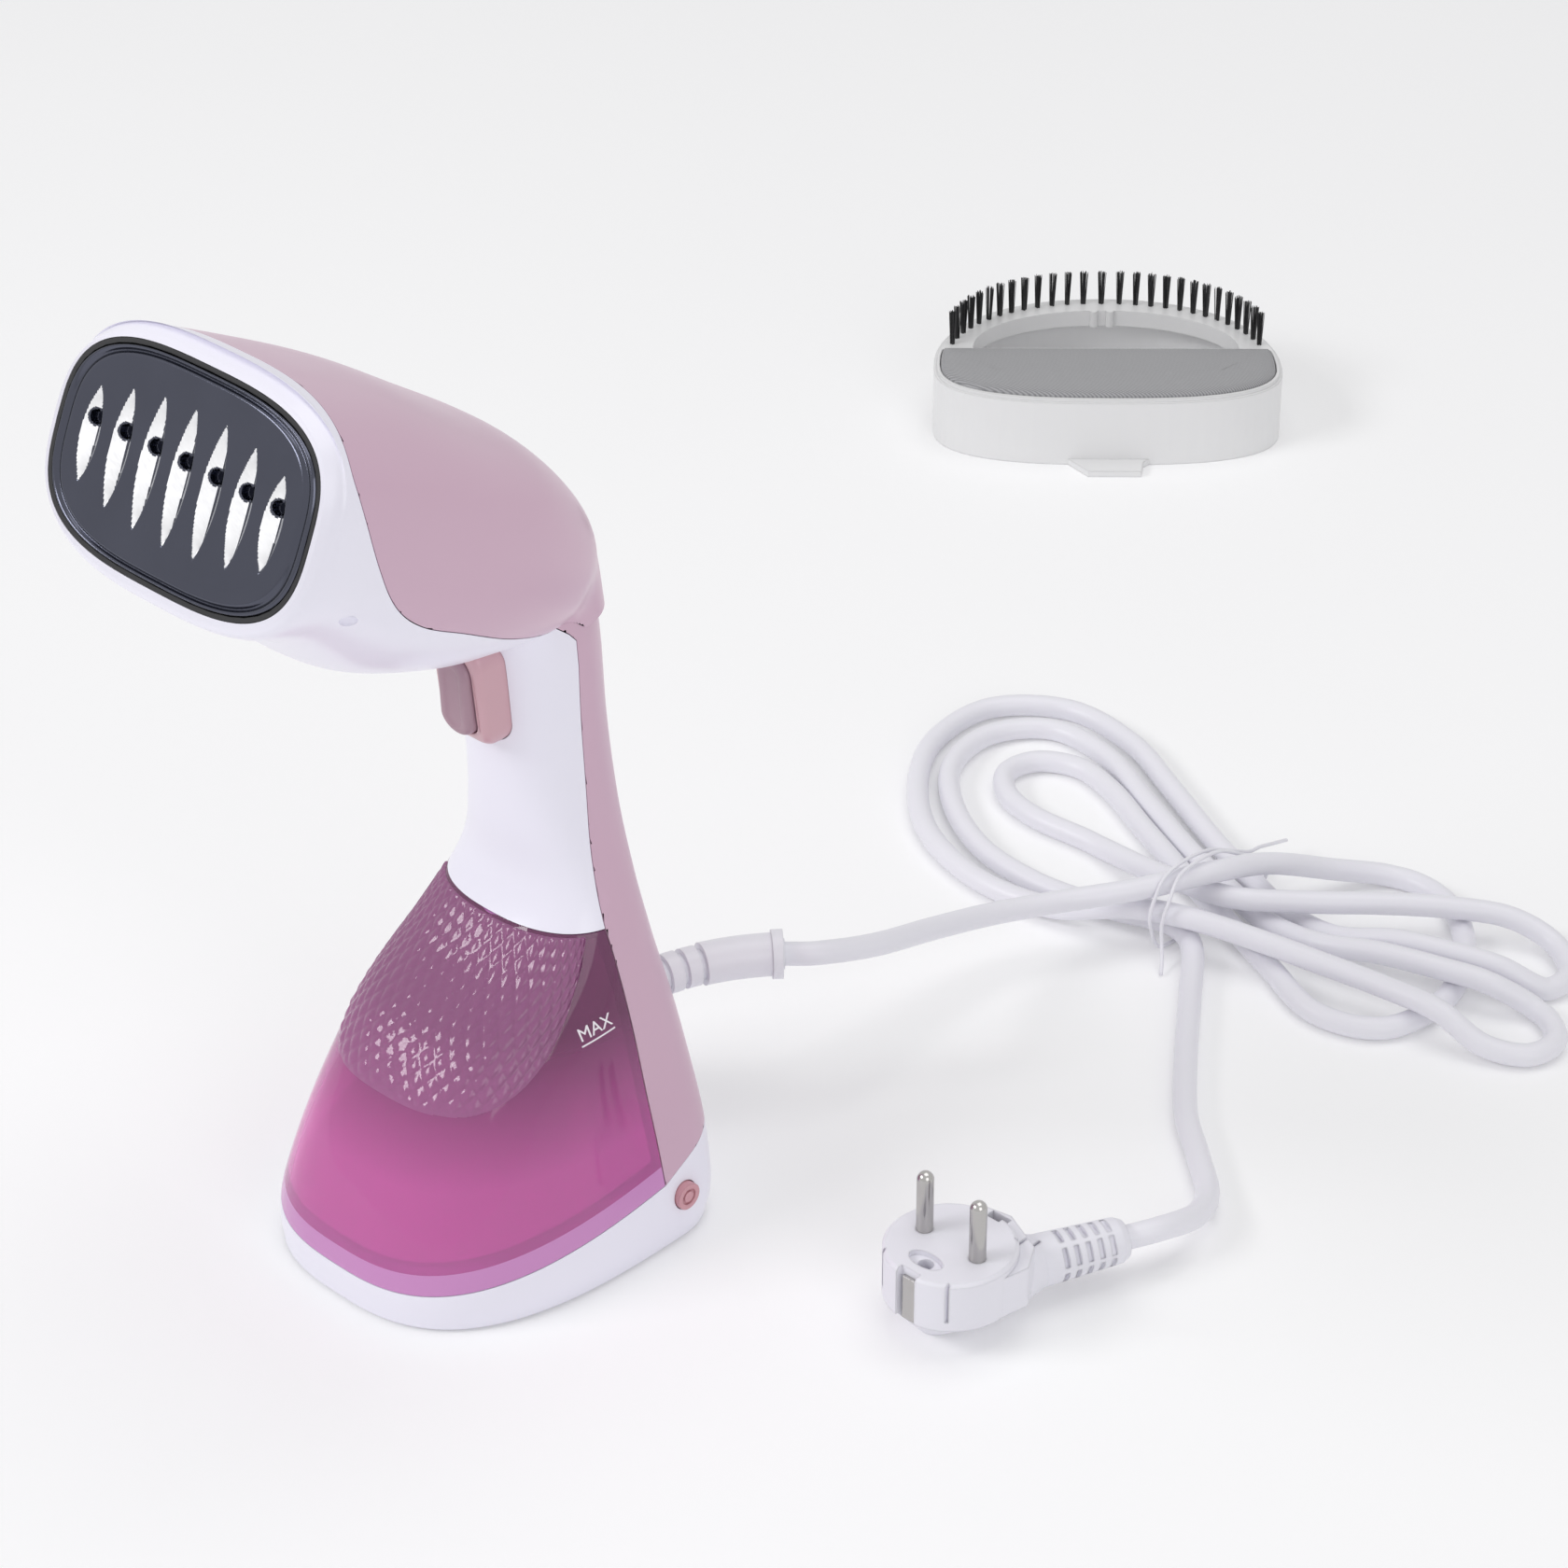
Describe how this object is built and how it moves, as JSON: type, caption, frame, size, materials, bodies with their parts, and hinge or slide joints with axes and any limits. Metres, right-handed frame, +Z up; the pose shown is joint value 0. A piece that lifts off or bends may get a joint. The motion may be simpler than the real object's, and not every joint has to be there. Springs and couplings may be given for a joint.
{
  "type": "garment steamer",
  "caption": "Handheld garment steamer with a slide-out water tank, trigger, tilted steam head, mains lead with plug, and a clip-on brush lying beside it.",
  "frame": {"origin": "on the floor plane, below the handle, in the middle of the width", "axes": "+Z up, +X across the width, and the steam face looks towards -Y"},
  "size_m": [0.4095, 0.634, 0.2962],
  "materials": {
    "white_shell": "smooth glossy moulded plastic",
    "pink_cover": "satin to glossy moulded plastic",
    "clear_tank": "transparent tinted plastic",
    "pale_band": "glossy moulded plastic",
    "trigger_frame": "satin moulded plastic",
    "trigger_pad": "matt moulded plastic",
    "button": "matt moulded plastic",
    "steel_plate": "polished dark stainless steel",
    "dark_rubber": "matt rubber",
    "cast_alloy": "die-cast aluminium",
    "tube_steel": "plain steel",
    "pin_chrome": "nickel-plated brass",
    "inner_plastic": "matt moulded plastic",
    "dark_plastic": "matt moulded plastic",
    "board": "lacquered circuit board with parts on it",
    "hose": "translucent silicone",
    "lead_white": "satin flexible vinyl",
    "brush_white": "satin moulded plastic",
    "bristle": "nylon bristle tufts",
    "pad_cloth": "grey twill cloth over foam"
  },
  "bodies": {
    "housing": {"base_housing": "white_shell", "base_plate": "inner_plastic", "feet": "dark_rubber", "base_screws": "tube_steel", "dock_wall": "white_shell", "dock_seal": "dark_rubber", "dock_connector": "white_shell", "suction_hose": "hose", "pump": "dark_plastic", "pump_mounts": "dark_rubber", "pressure_hose": "hose", "control_board": "board", "board_screws": "tube_steel", "wiring": "hose", "front_shell": "white_shell", "back_cover": "pink_cover", "trigger_frame": "trigger_frame", "trigger_spring": "tube_steel", "microswitch": "dark_plastic", "switch_bracket": "inner_plastic", "steam_plate": "steel_plate", "plate_gasket": "dark_rubber", "steam_chamber": "cast_alloy", "heating_tube": "tube_steel", "thermostat": "tube_steel", "thermal_fuse": "dark_plastic", "chamber_screws": "tube_steel", "button_spring_left": "tube_steel", "button_spring_right": "tube_steel", "cord_boot": "lead_white", "cord_clamp": "inner_plastic", "mains_cord": "lead_white", "twist_tie": "lead_white", "plug_body": "lead_white", "plug_pins": "pin_chrome", "earth_contacts": "tube_steel", "brush_frame": "brush_white", "brush_bristles": "bristle", "brush_pad": "pad_cloth"},
    "tank": {"water_tank": "clear_tank", "tank_band": "pale_band", "filler_plug": "pale_band", "tank_valve": "white_shell", "suction_tube": "clear_tank", "suction_filter": "clear_tank"},
    "trigger": {"trigger": "trigger_pad"},
    "button_left": {"button_left": "button"},
    "button_right": {"button_right": "button"}
  },
  "joints": [
    {"name": "tank_slide", "type": "slide", "parent": "housing", "child": "tank", "axis": [0, -1, 0], "range_m": [0, 0.12]},
    {"name": "trigger_press", "type": "slide", "parent": "housing", "child": "trigger", "axis": [0, 1, 0], "range_m": [0, 0.0025], "stiffness_N_per_m": 800, "springref_m": -0.002, "deforming": ["trigger_spring"]},
    {"name": "button_right_press", "type": "slide", "parent": "housing", "child": "button_right", "axis": [-1, 0, 0], "range_m": [0, 0.002], "stiffness_N_per_m": 600, "springref_m": -0.002, "deforming": ["button_spring_right"]},
    {"name": "button_left_press", "type": "slide", "parent": "housing", "child": "button_left", "axis": [1, 0, 0], "range_m": [0, 0.002], "stiffness_N_per_m": 600, "springref_m": -0.002, "deforming": ["button_spring_left"]}
  ]
}
